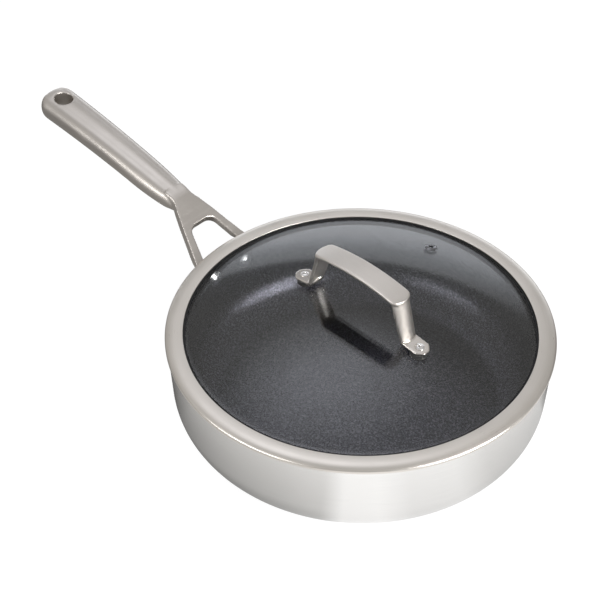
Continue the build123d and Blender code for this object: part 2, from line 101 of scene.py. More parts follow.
camera_data = bpy.data.cameras.new("studio_camera")
camera_data.sensor_width = sensor_width
camera_data.lens = lens_length
camera = in_scene("studio_camera", camera_data)
camera_place = lid_middle + camera_distance * direction(camera_azimuth, camera_elevation)
camera_turn = Matrix.Rotation(turn_to_left, 3, "Z") @ aimed(camera_place, lid_middle)
camera_turn = Matrix.Rotation(tip_upwards, 3, camera_turn.col[0]) @ camera_turn
camera.matrix_world = Matrix.Translation(camera_place) @ camera_turn.to_4x4()
scene.camera = camera
print("camera stands", round(camera_place.length, 3), "m from the centre of the base")

# %% [markdown]
# ## Helpers for materials
# A material here is a Principled shader whose plain numbers sit on the shader's own sockets. Only what
# changes over the surface, such as brushing, comes in through nodes. Effects that several finishes share
# are node groups, which put out masks, numbers and normals and leave the shader in the material.

# %% Node helpers
FLOAT = "NodeSocketFloat"
VECTOR = "NodeSocketVector"
WHITE = (1, 1, 1)


def feed(socket, value):
    """Links an output to an input, or sets the input to a plain value."""
    if isinstance(value, bpy.types.NodeSocket):
        socket.id_data.links.new(value, socket)
    else:
        socket.default_value = value


def add_node(tree, kind, *inputs, give=0, **values):
    """Adds a node with inputs in order or by name, sets its settings, and returns one of its outputs."""
    node = tree.nodes.new(kind)
    for name, value in values.items():
        socket = node.inputs.get(name.replace("_", " ").title())
        if socket is None:
            setattr(node, name, value)
        else:
            feed(socket, value)
    for socket, value in zip(node.inputs, inputs):
        if value is not None:
            feed(socket, value)
    return node.outputs[give]


def maths(tree, operation, *numbers):
    """Result of one operation on numbers or outputs."""
    return add_node(tree, "ShaderNodeMath", *numbers, operation=operation)


def length_of(tree, vector):
    """Length of a vector output."""
    return add_node(tree, "ShaderNodeVectorMath", vector, operation="LENGTH", give="Value")


def soft_step(tree, value, low, high):
    """Number that rises smoothly from 0 to 1 between two levels of a value."""
    return add_node(tree, "ShaderNodeMapRange", value=value, from_min=low, from_max=high,
                    interpolation_type="SMOOTHSTEP")


def mixed(tree, factor, low, high):
    """Mix of two colours, each a plain colour or an output."""
    mix = tree.nodes.new("ShaderNodeMix")
    mix.data_type = "RGBA"
    feed(mix.inputs[0], factor)
    for socket, colour in ((mix.inputs[6], low), (mix.inputs[7], high)):
        feed(socket, colour if isinstance(colour, bpy.types.NodeSocket) else (*colour, 1))
    return mix.outputs[2]


def ramp(tree, factor, stops_wanted):
    """Colour from a list of places on the ramp, each with a grey level or a colour."""
    node = tree.nodes.new("ShaderNodeValToRGB")
    stops = node.color_ramp.elements
    while len(stops) < len(stops_wanted):
        stops.new(0.5)
    for stop, (place, colour) in zip(stops, stops_wanted):
        stop.position = place
        stop.color = (*colour, 1) if isinstance(colour, tuple) else (colour, colour, colour, 1)
    feed(node.inputs["Fac"], factor)
    return node.outputs["Color"]


print("node helpers are ready")


# %% Material helpers
def new_group(name, inputs, outputs):
    """Shader node group with named sockets; returns its tree, what it is given and what it gives."""
    tree = bpy.data.node_groups.new(name, "ShaderNodeTree")
    for label, kind, value in inputs:
        socket = tree.interface.new_socket(name=label, in_out="INPUT", socket_type=kind)
        if value is not None:
            socket.default_value = value
    for label, kind in outputs:
        tree.interface.new_socket(name=label, in_out="OUTPUT", socket_type=kind)
    return tree, tree.nodes.new("NodeGroupInput").outputs, tree.nodes.new("NodeGroupOutput").inputs


def place_group(tree, group, **values):
    """Puts a node group in a material, feeds its inputs and returns its outputs."""
    node = tree.nodes.new("ShaderNodeGroup")
    node.node_tree = group
    for name, value in values.items():
        feed(node.inputs[name.replace("_", " ").capitalize()], value)
    return node.outputs


def new_finish(name, colour, roughness, metallic=0.0):
    """Material with a Principled shader that has plain values to start from."""
    material = bpy.data.materials.new(name)
    material.use_nodes = True
    shader = material.node_tree.nodes["Principled BSDF"]
    shader.inputs["Base Color"].default_value = (*colour, 1)
    shader.inputs["Roughness"].default_value = roughness
    shader.inputs["Metallic"].default_value = metallic
    return material, material.node_tree, shader


def own_place(tree):
    """Object coordinates, which stay with a piece when it moves."""
    return tree.nodes.new("ShaderNodeTexCoord").outputs["Object"]


def ray_kind(tree):
    """Outputs that tell which kind of ray looks at a surface."""
    return tree.nodes.new("ShaderNodeLightPath").outputs


def show(tree, surface):
    """Makes a shader the material's surface."""
    feed(tree.nodes["Material Output"].inputs["Surface"], surface)


print("material helpers are ready")

# %% [markdown]
# ## Shared surface effects
# Brushed steel is covered by fine scratches that all run one way. Stretched noise gives them: it changes
# slowly along the scratches and fast across them, and drives a small bump and the roughness together.
# Handled metal also has broad, barely visible patches where it is a little duller, and a nonstick coating
# has flecks of a second colour in it. Each effect is one group with named inputs.

# %% Brushed grain group
brushed_grain, given, result = new_group(
    "brushed_grain",
    [("Vector", VECTOR, None), ("Stretch", VECTOR, (30, 2000, 1)), ("Depth", FLOAT, 0.00001),
     ("Smoothest", FLOAT, 0.2), ("Roughest", FLOAT, 0.3)],
    [("Roughness", FLOAT), ("Normal", VECTOR), ("Mask", FLOAT)])
stretched = add_node(brushed_grain, "ShaderNodeVectorMath", given["Vector"], given["Stretch"],
                     operation="MULTIPLY")
scratches = add_node(brushed_grain, "ShaderNodeTexNoise", vector=stretched, scale=1.0, detail=4.0,
                     roughness=0.62)
feed(result["Roughness"], add_node(brushed_grain, "ShaderNodeMapRange", value=scratches, from_min=0.3,
                                   from_max=0.7, to_min=given["Smoothest"], to_max=given["Roughest"]))
feed(result["Normal"], add_node(brushed_grain, "ShaderNodeBump", height=scratches, distance=given["Depth"]))
feed(result["Mask"], scratches)
print("brushed_grain:", len(brushed_grain.nodes), "nodes")

# %% Soft patches group
soft_patches, given, result = new_group(
    "soft_patches",
    [("Vector", VECTOR, None), ("Size", FLOAT, 40.0), ("Least", FLOAT, 0.9), ("Most", FLOAT, 1.1)],
    [("Factor", FLOAT)])
clouds = add_node(soft_patches, "ShaderNodeTexNoise", vector=given["Vector"], scale=given["Size"],
                  detail=3.0, roughness=0.5)
feed(result["Factor"], add_node(soft_patches, "ShaderNodeMapRange", value=clouds, from_min=0.35,
                                from_max=0.65, to_min=given["Least"], to_max=given["Most"]))
print("soft_patches:", len(soft_patches.nodes), "nodes")

# %% Coating flecks group
coating_flecks, given, result = new_group(
    "coating_flecks",
    [("Vector", VECTOR, None), ("Fineness", FLOAT, 900.0), ("Depth", FLOAT, 0.00002)],
    [("Flecks", FLOAT), ("Clouding", FLOAT), ("Normal", VECTOR)])
grit = add_node(coating_flecks, "ShaderNodeTexNoise", vector=given["Vector"], scale=given["Fineness"],
                detail=2.0, roughness=0.7)
feed(result["Flecks"], add_node(coating_flecks, "ShaderNodeMapRange", value=grit, from_min=0.48,
                                from_max=0.68))
feed(result["Clouding"], add_node(coating_flecks, "ShaderNodeTexNoise", vector=given["Vector"], scale=28.0,
                                  detail=2.0))
feed(result["Normal"], add_node(coating_flecks, "ShaderNodeBump", height=grit, distance=given["Depth"]))
print("coating_flecks:", len(coating_flecks.nodes), "nodes")

# %% [markdown]
# ## Steel finishes
# The wall is polished on a lathe, so its scratches run round it and stretch every highlight up and down;
# its flat base is duller. The band has a warmer satin. The two handles are satin along their length, the
# lid handle's feet are brighter, and the rivets are polished. On turned pieces the brushing follows the
# piece's own UV map, which counts metres round the turn and metres along the outline; on the handles it
# follows object coordinates.

# %% Steel finishes
least_patch = 0.9                 # roughness in a soft patch, as a share of the rest
most_patch = 1.12
darker = 0.93                     # colour between the scratches and on them
lighter = 1.05
feet_fade = 0.002                 # metres over which the lid handle's feet turn bright
feet_polish = 0.42


def brushed_steel(name, colour, smoothest, roughest, depth, stretch, turned, anisotropy=0.0, patch=40.0,
                  polished_below=None):
    """Metal with brushing, soft duller patches and a slight change of colour along the scratches."""
    material, tree, shader = new_finish(name, colour, roughest, metallic=1.0)
    shader.inputs["Anisotropic"].default_value = anisotropy
    place = own_place(tree)
    along = tree.nodes.new("ShaderNodeTexCoord").outputs["UV"] if turned else place
    grain = place_group(tree, brushed_grain, vector=along, stretch=stretch, depth=depth, smoothest=smoothest,
                        roughest=roughest)
    patches = place_group(tree, soft_patches, vector=place, size=patch, least=least_patch, most=most_patch)
    roughness = maths(tree, "MULTIPLY", grain["Roughness"], patches["Factor"])
    if polished_below is not None:
        height = add_node(tree, "ShaderNodeSeparateXYZ", place, give="Z")
        feet = add_node(tree, "ShaderNodeMapRange", value=height, from_min=polished_below,
                        from_max=polished_below + feet_fade, to_min=feet_polish, to_max=1.0)
        roughness = maths(tree, "MULTIPLY", roughness, feet)
    feed(shader.inputs["Roughness"], roughness)
    feed(shader.inputs["Normal"], grain["Normal"])
    feed(shader.inputs["Base Color"], mixed(tree, grain["Mask"], [darker * value for value in colour],
                                            [min(1.0, lighter * value) for value in colour]))
    if turned:
        round_axis = tree.nodes.new("ShaderNodeTangent")
        round_axis.direction_type = "RADIAL"
        round_axis.axis = "Z"
        feed(shader.inputs["Tangent"], round_axis.outputs[0])
        shader.inputs["Anisotropic Rotation"].default_value = 0.25
    return material


turned_scratches = (26, 2300, 1)
lengthwise_scratches = (45, 1900, 1900)
polished_grain = (300, 300, 300)
feet_height = 0.0925
wall_steel = brushed_steel("polished_wall_steel", (0.84, 0.83, 0.815), smoothest=0.09, roughest=0.15,
                           depth=0.000006, stretch=turned_scratches, turned=True, anisotropy=0.55)
band_steel = brushed_steel("satin_band_steel", (0.745, 0.705, 0.655), smoothest=0.29, roughest=0.37,
                           depth=0.00001, stretch=turned_scratches, turned=True, anisotropy=0.4)
base_steel = brushed_steel("base_steel", (0.64, 0.63, 0.61), smoothest=0.26, roughest=0.38,
                           depth=0.000014, stretch=turned_scratches, turned=True, anisotropy=0.3)
handle_steel = brushed_steel("satin_handle_steel", (0.635, 0.597, 0.558), smoothest=0.33, roughest=0.41,
                             depth=0.000009, stretch=lengthwise_scratches, turned=False)
strap_steel = brushed_steel("satin_strap_steel", (0.70, 0.662, 0.62), smoothest=0.32, roughest=0.39,
                            depth=0.000007, stretch=lengthwise_scratches, turned=False,
                            polished_below=feet_height)
rivet_steel = brushed_steel("polished_rivet_steel", (0.80, 0.79, 0.78), smoothest=0.18, roughest=0.26,
                            depth=0.000003, stretch=polished_grain, turned=False, patch=120.0)
# the vent eyelet's steel gets a dark colour: painted shade for the dark surroundings that its polished ring
# mirrors
shaded_vent_steel = brushed_steel("painted_shade_vent_steel", (0.20, 0.20, 0.21), smoothest=0.16, roughest=0.24,
                           depth=0.000003, stretch=polished_grain, turned=False, patch=120.0)
core_metal = brushed_steel("rolled_aluminium", (0.80, 0.80, 0.81), smoothest=0.3, roughest=0.42,
                           depth=0.00001, stretch=lengthwise_scratches, turned=False)
print("steels:", ", ".join(m.name for m in bpy.data.materials if m.name.endswith("steel")))

# %% [markdown]
# ## Nonstick coating, rubber and glass
# The interior is a nearly black coating full of fine metal flecks. Its colour is painted a little lighter in
# the middle of the floor than towards the wall: painted light for the open middle, which gets more light
# than the shaded floor by the wall. Most of the grey seen in the pan is light mirrored by the glass above
# it, and the crisp dark shape beside the lid handle is the handle's own mirror image. The seal and washers
# are matt
# rubber. The lid is clear tempered glass: light has to reach the interior through it, so for shadow rays
# and diffuse rays the material lets light pass instead of throwing a solid shadow.

# %% Nonstick coating
nonstick, tree, shader = new_finish("speckled_nonstick", (0.024, 0.023, 0.026), 0.42, metallic=1.0)
shader.inputs["Specular Tint"].default_value = (0.30, 0.29, 0.31, 1)
place = own_place(tree)
flecks = place_group(tree, coating_flecks, vector=place, fineness=900.0, depth=0.00007)
# painted light: coat and flecks are lighter in the middle of the floor and darker towards the wall, where
# shade falls
painted_centre_light = soft_step(tree, length_of(tree, place), 0.045, 0.104)
ground = mixed(tree, painted_centre_light, (0.034, 0.033, 0.041), (0.018, 0.0175, 0.021))
light_flecks = mixed(tree, painted_centre_light, (0.165, 0.161, 0.186), (0.110, 0.108, 0.124))
feed(shader.inputs["Base Color"], mixed(tree, flecks["Flecks"], ground, light_flecks))
feed(shader.inputs["Roughness"], add_node(tree, "ShaderNodeMapRange", value=flecks["Clouding"], to_min=0.26,
                                          to_max=0.33))
feed(shader.inputs["Normal"], flecks["Normal"])
print("nonstick coating has", len(tree.nodes), "nodes")


# %% Rubber
def matt_rubber(name, colour, roughness):
    """Rubber with a faint uneven dullness."""
    material, tree, shader = new_finish(name, colour, roughness)
    shader.inputs["Specular IOR Level"].default_value = 0.25
    unevenness = 0.08
    patches = place_group(tree, soft_patches, vector=own_place(tree), size=260.0,
                          least=roughness - unevenness, most=roughness + unevenness)
    feed(shader.inputs["Roughness"], patches["Factor"])
    return material


seal_rubber = matt_rubber("black_seal_rubber", (0.006, 0.006, 0.007), 0.5)
washer_rubber = matt_rubber("washer_rubber", (0.06, 0.058, 0.055), 0.55)
print("rubbers:", seal_rubber.name, washer_rubber.name)

# %% Clear glass
lid_glass, tree, shader = new_finish("clear_lid_glass", (0.93, 0.945, 0.955), 0.0)
shader.inputs["Transmission Weight"].default_value = 1.0
shader.inputs["IOR"].default_value = 1.46
shader.inputs["Specular IOR Level"].default_value = 0.15
ray = ray_kind(tree)
open_way = add_node(tree, "ShaderNodeBsdfTransparent", (0.88, 0.89, 0.90, 1))
either = maths(tree, "MAXIMUM", ray["Is Shadow Ray"], ray["Is Diffuse Ray"])
show(tree, add_node(tree, "ShaderNodeMixShader", either, shader.outputs["BSDF"], open_way))
print("glass lets shadow and diffuse rays through")

# %% [markdown]
# ## Turned pieces
# The shell, the liner, the band, the seal and the glass are all round. Each is made by turning a closed
# outline about the axis, which gives clean quads and a UV map that runs along the brushing. The outline
# has points only where the shape needs them, and arcs where it is round. The lengths are in millimetres,
# as on the drawing of the pan.

# %% Turning helper
turn_steps = 288
seam_angle = pi                   # under the long handle
on_axis = 1e-6                    # radius in millimetres that counts as none
sharp_turned = 32                 # degrees above which an edge stays crisp
sharp_fastener = 40


def arc(centre, radii, first, last, steps):
    """Points on an arc of an ellipse, between two angles in degrees."""
    angles = [radians(first + (last - first) * step / steps) for step in range(steps + 1)]
    return [(centre[0] + radii[0] * cos(angle), centre[1] + radii[1] * sin(angle)) for angle in angles]


def turned_mesh(name, outline, steps, uv_radius):
    """Closed mesh turned about Z from an outline of radius and height in millimetres."""
    shape = bmesh.new()
    uv_map = shape.loops.layers.uv.new("brushing")
    rings = []
    travel = [0.0]
    for point, following in zip(outline, outline[1:] + outline[:1]):
        travel.append(travel[-1] + hypot(following[0] - point[0], following[1] - point[1]))
    for radius, height in outline:
        if radius < on_axis:
            rings.append([shape.verts.new((0, 0, height * MM))] * steps)
            continue
        angles = [seam_angle + 2 * pi * step / steps for step in range(steps)]
        rings.append([shape.verts.new((radius * MM * cos(a), radius * MM * sin(a), height * MM))
                      for a in angles])
    for index, ring in enumerate(rings):
        following = rings[(index + 1) % len(rings)]
        if ring[0] is ring[1] and following[0] is following[1]:
            continue
        for step in range(steps):
            near = (step + 1) % steps
            corners = ((ring[step], step, index), (ring[near], step + 1, index),
                       (following[near], step + 1, index + 1), (following[step], step, index + 1))
            used = []
            for corner in corners:
                if corner[0] not in [vertex for vertex, _, _ in used]:
                    used.append(corner)
            face = shape.faces.new([vertex for vertex, _, _ in used])
            for loop, (_, turn, place) in zip(face.loops, used):
                across = 2 * pi * turn / steps * uv_radius * MM
                loop[uv_map].uv = (across, travel[place] * MM)
    bmesh.ops.recalc_face_normals(shape, faces=shape.faces)
    mesh = bpy.data.meshes.new(name)
    shape.to_mesh(mesh)
    shape.free()
    return smooth_shaded(mesh, sharp_turned)


def smooth_shaded(mesh, sharp_above):
    """Smooth shading that stays crisp at edges sharper than an angle in degrees."""
    mesh.polygons.foreach_set("use_smooth", [True] * len(mesh.polygons))
    mesh.set_sharp_from_angle(angle=radians(sharp_above))
    mesh.update()
    return mesh


def new_piece(name, mesh, finish, body, *replaced):
    """Object with one finish that rides on a body and stands for CAD nodes."""
    piece = in_scene(name, mesh)
    mesh.materials.clear()
    mesh.materials.append(finish)
    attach(piece, body)
    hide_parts(*replaced)
    print(name, "has", len(mesh.polygons), "faces")
    return piece


# %% [markdown]
# ## The pan's wall
# The wall is three bonded sheets: a steel shell outside, aluminium between and the coated liner inside.
# All three follow the same outline at different depths, so one function draws it: flat base, round corner,
# then a wall that leans out by a few degrees. The shell is turned over the aluminium at the rim.

# %% Wall outlines
rim_radius = 133.2
rim_height = 73.2
wall_taper = radians(3.6)
corner_radius = 33.7
shell_depth = 0.6
core_depth = 2.2
liner_depth = 2.7
rim_lip = 1.2
rim_rounding = 0.5
corner_steps = 18


def wall_radius(height, depth):
    """Radius of the leaning wall at a height, at a depth below its outer surface."""
    return rim_radius - (rim_height - height) * tan(wall_taper) - depth / cos(wall_taper)


def wall_line(depth, top):
    """Outline from the middle of the base, round the corner and up to a height."""
    centre = (wall_radius(corner_radius, 0) - corner_radius / cos(wall_taper), corner_radius)
    turn = corner_radius - depth
    corner = arc(centre, (turn, turn), -90, -degrees(wall_taper), corner_steps)
    return [(0, depth)] + corner + [(wall_radius(top, depth), top)]


def rounded_top(outer, inner, top, rounding):
    """Rim with two rounded corners, from its outer to its inner side."""
    return (arc((outer - rounding, top - rounding), (rounding, rounding), 0, 90, 4)
            + arc((inner + rounding, top - rounding), (rounding, rounding), 90, 180, 4))


# %% Outer shell
lip_bottom = rim_height - rim_lip
shell_outline = wall_line(0, rim_height - rim_rounding)
shell_outline += rounded_top(wall_radius(rim_height, 0), wall_radius(rim_height, core_depth), rim_height,
                             rim_rounding)
shell_outline += [(wall_radius(lip_bottom, core_depth), lip_bottom)]
shell_outline += reversed(wall_line(shell_depth, lip_bottom))
outer_wall = new_piece("outer_wall", turned_mesh("outer_wall", shell_outline, turn_steps, rim_radius),
                       wall_steel, "pan", "outer_shell")
outer_wall.data.materials.append(base_steel)
flat_base = 0.05 * MM
base_faces = [face for face in outer_wall.data.polygons if face.center.z < flat_base]
for face in base_faces:
    face.material_index = 1
print("flat base:", len(base_faces), "faces")

# %% Nonstick interior
liner_rounding = rim_rounding / 2
liner_outline = wall_line(core_depth, rim_height - liner_rounding)
liner_outline += rounded_top(wall_radius(rim_height, core_depth), wall_radius(rim_height, liner_depth),
                             rim_height, liner_rounding)
liner_outline += reversed(wall_line(liner_depth, rim_height - liner_rounding))
interior = new_piece("nonstick_interior",
                     turned_mesh("nonstick_interior", liner_outline, turn_steps, rim_radius),
                     nonstick, "pan", "nonstick_liner")

# %% Aluminium core
nodes["aluminium_core"].data.materials.clear()
nodes["aluminium_core"].data.materials.append(core_metal)
print("the core stays as the CAD node, sealed between shell and liner")

# %% [markdown]
# ## The lid's band
# The lid's rim is one strip of steel. Its flat top ends inside in a thin lip over the glass, and outside
# it rolls down to a short hem. Below the flat, a channel holds the glass and the seal, and a skirt dips
# inside the pan and centres the lid. The roll is a quarter of an ellipse; the rest is straight.

# %% Lid band
band_top = 75.1
band_outer = 134.4
band_flat = 127.3
band_lip = 122.0
band_sheet = 0.7
roll_drop = 2.6
hem_drop = 4.2
skirt_drop = 8.0
skirt_clearance = 1.2
glass_below_sheet = 0.4
seal_bed = 0.5
glass_thickness = 4.0
skirt_radius = wall_radius(band_top - skirt_drop, liner_depth) - skirt_clearance
skirt_inside = skirt_radius - band_sheet
glass_edge_top = band_top - band_sheet - glass_below_sheet
shelf = glass_edge_top - glass_thickness - seal_bed
roll_base = band_top - roll_drop
under_roll = (band_outer - band_flat - band_sheet, roll_drop - band_sheet)
skirt_at_roll = roll_base + under_roll[1] * sqrt(1 - ((skirt_radius - band_flat) / under_roll[0]) ** 2)
soft = 0.25
past_skirt = 0.1
band_outline = arc((band_lip + soft, band_top - soft), (soft, soft), 180, 90, 4)
band_outline += arc((band_flat, roll_base), (band_outer - band_flat, roll_drop), 90, 0, 20)
band_outline += [(band_outer, band_top - hem_drop + soft), (band_outer - soft, band_top - hem_drop),
                 (band_outer - band_sheet + soft, band_top - hem_drop),
                 (band_outer - band_sheet, band_top - hem_drop + soft)]
band_outline += [point for point in arc((band_flat, roll_base), under_roll, 0, 90, 20)
                 if point[0] > skirt_radius + past_skirt]
band_outline += [(skirt_radius, skirt_at_roll), (skirt_radius, band_top - skirt_drop),
                 (skirt_inside, band_top - skirt_drop), (skirt_inside, shelf - band_sheet),
                 (band_lip, shelf - band_sheet), (band_lip, shelf), (skirt_inside, shelf),
                 (skirt_inside, band_top - band_sheet), (band_lip, band_top - band_sheet)]
rolled_band = new_piece("rolled_band", turned_mesh("rolled_band", band_outline, turn_steps, band_flat),
                        band_steel, "lid", "lid_band")

# %% [markdown]
# ## Glass and seal
# The glass is a shallow dome with a flat edge. The dome is part of a sphere, and a fillet leads from it
# to the flat. Both faces are worked out from the same centres, so the glass is as thick everywhere. The
# seal is a black channel round the edge, which shows as a dark line inside the band.

# %% Domed glass
dome_rise = 17.2
dome_radius = 118.5
fillet_radius = 12.0
seal_wall = 0.8
edge_rounding = 0.4
glass_edge = skirt_inside - seal_wall - edge_rounding
sphere_radius = (dome_radius ** 2 + dome_rise ** 2) / (2 * dome_rise)
sphere_height = glass_edge_top + dome_rise - sphere_radius
dome_steps = 26


def dome_face(depth):
    """Outline of one face of the glass, from the axis to its edge, at a depth below the top face."""
    sphere = sphere_radius - depth
    hollow = fillet_radius + depth
    hollow_height = glass_edge_top + fillet_radius
    hollow_reach = sqrt((sphere_radius + fillet_radius) ** 2 - (hollow_height - sphere_height) ** 2)
    slope = degrees(atan2(hollow_height - sphere_height, hollow_reach))
    dome = arc((0, sphere_height), (sphere, sphere), 90, slope, dome_steps)
    blend = arc((hollow_reach, hollow_height), (hollow, hollow), 180 + slope, 270, 6)
    return dome + blend[1:] + [(glass_edge - edge_rounding, glass_edge_top - depth)]


edge_round = arc((glass_edge - edge_rounding, glass_edge_top - glass_thickness / 2),
                 (edge_rounding, glass_thickness / 2), 60, -60, 4)
glass_outline = dome_face(0) + edge_round + list(reversed(dome_face(glass_thickness)))
domed_glass = new_piece("domed_glass", turned_mesh("domed_glass", glass_outline, turn_steps, band_flat),
                        lid_glass, "lid", "lid_glass")

# %% Black seal
seal_clearance = 0.2
glass_clearance = 0.05
seal_inside = band_lip - 1.75
seal_outside = skirt_inside - seal_clearance
seal_top = glass_edge_top + 0.35
groove_side = glass_edge + seal_clearance
groove_top = glass_edge_top + glass_clearance
groove_low = glass_edge_top - glass_thickness - glass_clearance
seal_outline = [(seal_inside + seal_clearance, seal_top), (seal_outside, seal_top), (seal_outside, shelf),
                (seal_inside, shelf), (seal_inside, groove_low), (groove_side, groove_low),
                (groove_side, groove_top), (seal_inside, groove_top),
                (seal_inside, seal_top - seal_clearance)]
black_seal = new_piece("black_seal", turned_mesh("black_seal", seal_outline, turn_steps, band_flat),
                       seal_rubber, "lid", "glass_gasket")

# %% [markdown]
# ## The two handles
# The long handle is a casting and the lid handle a stamping, and both have edges that are softly rounded
# by polishing. The CAD shapes are right but their edges are knife sharp. So each handle is a copy of its
# CAD mesh: its loose triangles are merged, a voxel remesh gives it an even grid, and a few passes of
# smoothing round the edges just enough to catch the light, as the real ones do.

# %% Softening helpers
same_place = 0.000002
least_weight = 0.01


def evaluated(draft, name):
    """Plain mesh of an object with its modifiers applied."""
    graph = bpy.context.evaluated_depsgraph_get()
    mesh = bpy.data.meshes.new_from_object(draft.evaluated_get(graph), depsgraph=graph)
    mesh.name = name
    bpy.data.objects.remove(draft)
    return mesh


def even_grid(node, grid):
    """Copy of a CAD node's mesh on an even grid of quads."""
    merged = bmesh.new()
    merged.from_mesh(nodes[node].data)
    bmesh.ops.remove_doubles(merged, verts=merged.verts, dist=same_place)
    mesh = bpy.data.meshes.new(node + "_merged")
    merged.to_mesh(mesh)
    merged.free()
    draft = in_scene(node + "_draft", mesh)
    even = draft.modifiers.new("even_grid", "REMESH")
    even.mode = "VOXEL"
    even.voxel_size = grid
    even.use_smooth_shade = True
    return evaluated(draft, node + "_even")


def smoothed(mesh, name, passes, weight=None):
    """Mesh after some passes of smoothing, with an optional weight for every vertex position."""
    draft = in_scene(name + "_draft", mesh)
    smoothing = draft.modifiers.new("smoothing", "SMOOTH")
    smoothing.factor = 0.5
    smoothing.iterations = passes
    if weight is not None:
        chosen = draft.vertex_groups.new(name="chosen")
        for vertex in mesh.vertices:
            amount = weight(vertex.co)
            if amount > least_weight:
                chosen.add([vertex.index], amount, "REPLACE")
        smoothing.vertex_group = "chosen"
    return evaluated(draft, name)


print("softening helpers are ready")

# %% [markdown]
# The long handle gets two more things that a polished casting has. The legs of its fork are made thicker
# from below, which shows as a dark strip along the near leg. And its neck, where the round grip runs into
# the flat fork, is blended until no step is left.

# %% Long handle
handle_grid = 0.00060
fork_growth = 0.0033
most_growth = 0.9                 # as a share of the depth below the top
slice_width = 0.001
edge_passes = 4
neck_passes = 30


def ease(value, low, high):
    """Rises smoothly from 0 to 1 between two values."""
    share = min(1.0, max(0.0, (value - low) / (high - low)))
    return share * share * (3 - 2 * share)


def neck_weight(place):
    """Full in the neck, nothing in the grip and the fork."""
    return ease(place.x, -0.208, -0.190) * (1 - ease(place.x, -0.180, -0.164))


def thicken_fork(mesh, growth):
    """Lowers the underside of the fork's legs and leaves its top where it is."""
    tops = {}
    for vertex in mesh.vertices:
        key = round(vertex.co.x / slice_width)
        tops[key] = max(tops.get(key, -1.0), vertex.co.z)
    for vertex in mesh.vertices:
        place = vertex.co
        strength = ease(place.x, -0.186, -0.176) * (1 - ease(place.x, -0.146, -0.138))
        if strength == 0:
            continue
        key = int(place.x // slice_width)
        share = place.x / slice_width - key
        top = (1 - share) * tops[key] + share * tops[key + 1]
        place.z -= strength * min(growth, most_growth * max(0.0, top - place.z))
    mesh.update()


handle_mesh = even_grid("long_handle", handle_grid)
thicken_fork(handle_mesh, fork_growth)
handle_mesh = smoothed(handle_mesh, "handle_edges", edge_passes)
handle_mesh = smoothed(handle_mesh, "forked_handle", neck_passes, neck_weight)
forked_handle = new_piece("forked_handle", handle_mesh, handle_steel, "pan", "long_handle")

# %% Lid handle
strap_grid = 0.0004
strap_passes = 6
strap_mesh = smoothed(even_grid("lid_handle", strap_grid), "strap_handle", strap_passes)
strap_handle = new_piece("strap_handle", strap_mesh, strap_steel, "lid", "lid_handle")

# %% [markdown]
# ## Fasteners
# Rivets and washers repeat, so they are placed by Geometry Nodes. One tree takes the seats, which are
# points with a facing direction, and a single turned piece. It puts a copy on every seat, turns each one
# about its own axis by a seeded random angle, as riveting leaves them, makes the copies real and gives
# them their material. Two handle rivets and two of everything in the lid come from this one tree.

# %% The seat tree
def build_seat_tree():
    """Geometry Nodes tree that puts a turned piece on every seat, facing the seat's way."""
    tree = bpy.data.node_groups.new("pieces_on_seats", "GeometryNodeTree")
    face = tree.interface
    face.new_socket(name="Seats", in_out="INPUT", socket_type="NodeSocketGeometry")
    face.new_socket(name="Turned piece", in_out="INPUT", socket_type="NodeSocketObject")
    face.new_socket(name="Size", in_out="INPUT", socket_type="NodeSocketFloat").default_value = 1.0
    face.new_socket(name="Turn seed", in_out="INPUT", socket_type="NodeSocketInt").default_value = 3
    face.new_socket(name="Finish", in_out="INPUT", socket_type="NodeSocketMaterial")
    face.new_socket(name="Placed pieces", in_out="OUTPUT", socket_type="NodeSocketGeometry")
    given = tree.nodes.new("NodeGroupInput").outputs
    result = tree.nodes.new("NodeGroupOutput").inputs
    piece = add_node(tree, "GeometryNodeObjectInfo", object=given["Turned piece"], give="Geometry")
    facing = add_node(tree, "GeometryNodeInputNamedAttribute", data_type="FLOAT_VECTOR", name="facing")
    aligned = add_node(tree, "FunctionNodeAlignRotationToVector", vector=facing, axis="Z")
    spin = add_node(tree, "FunctionNodeRandomValue", data_type="FLOAT_VECTOR", min=(0, 0, 0),
                    max=(0, 0, 2 * pi), seed=given["Turn seed"])
    turned = add_node(tree, "FunctionNodeRotateRotation", rotation_space="LOCAL", rotation=aligned,
                      rotate_by=spin)
    copies = add_node(tree, "GeometryNodeInstanceOnPoints", points=given["Seats"], instance=piece,
                      rotation=turned, scale=given["Size"])
    real = add_node(tree, "GeometryNodeRealizeInstances", copies)
    dressed = add_node(tree, "GeometryNodeSetMaterial", geometry=real, material=given["Finish"])
    feed(result["Placed pieces"], dressed)
    return tree


seat_tree = build_seat_tree()
seat_sockets = {item.name: item.identifier for item in seat_tree.interface.items_tree
                if item.in_out == "INPUT"}
print("seat tree inputs:", list(seat_sockets))


# %% Placing pieces on seats
small_steps = 48
small_radius = 5.0


def fasteners(name, outline, seats, finish, body, seed, *replaced):
    """One mesh with a copy of a turned piece on each seat; outline and seats are in millimetres."""
    pattern = in_scene(name + "_pattern", turned_mesh(name + "_pattern", outline, small_steps, small_radius))
    points = bpy.data.meshes.new(name + "_seats")
    points.from_pydata([Vector(place) * MM for place, _ in seats], [], [])
    facing = points.attributes.new("facing", "FLOAT_VECTOR", "POINT")
    facing.data.foreach_set("vector", [value for _, way in seats for value in way])
    holder = in_scene(name + "_seats", points)
    placing = holder.modifiers.new("placing", "NODES")
    placing.node_group = seat_tree
    placing[seat_sockets["Turned piece"]] = pattern
    placing[seat_sockets["Turn seed"]] = seed
    placing[seat_sockets["Finish"]] = finish
    mesh = evaluated(holder, name)
    bpy.data.objects.remove(pattern)
    return new_piece(name, smooth_shaded(mesh, sharp_fastener), finish, body, *replaced)


def both(stem):
    """Names of the left and right CAD nodes of a kind."""
    return stem + "_left", stem + "_right"


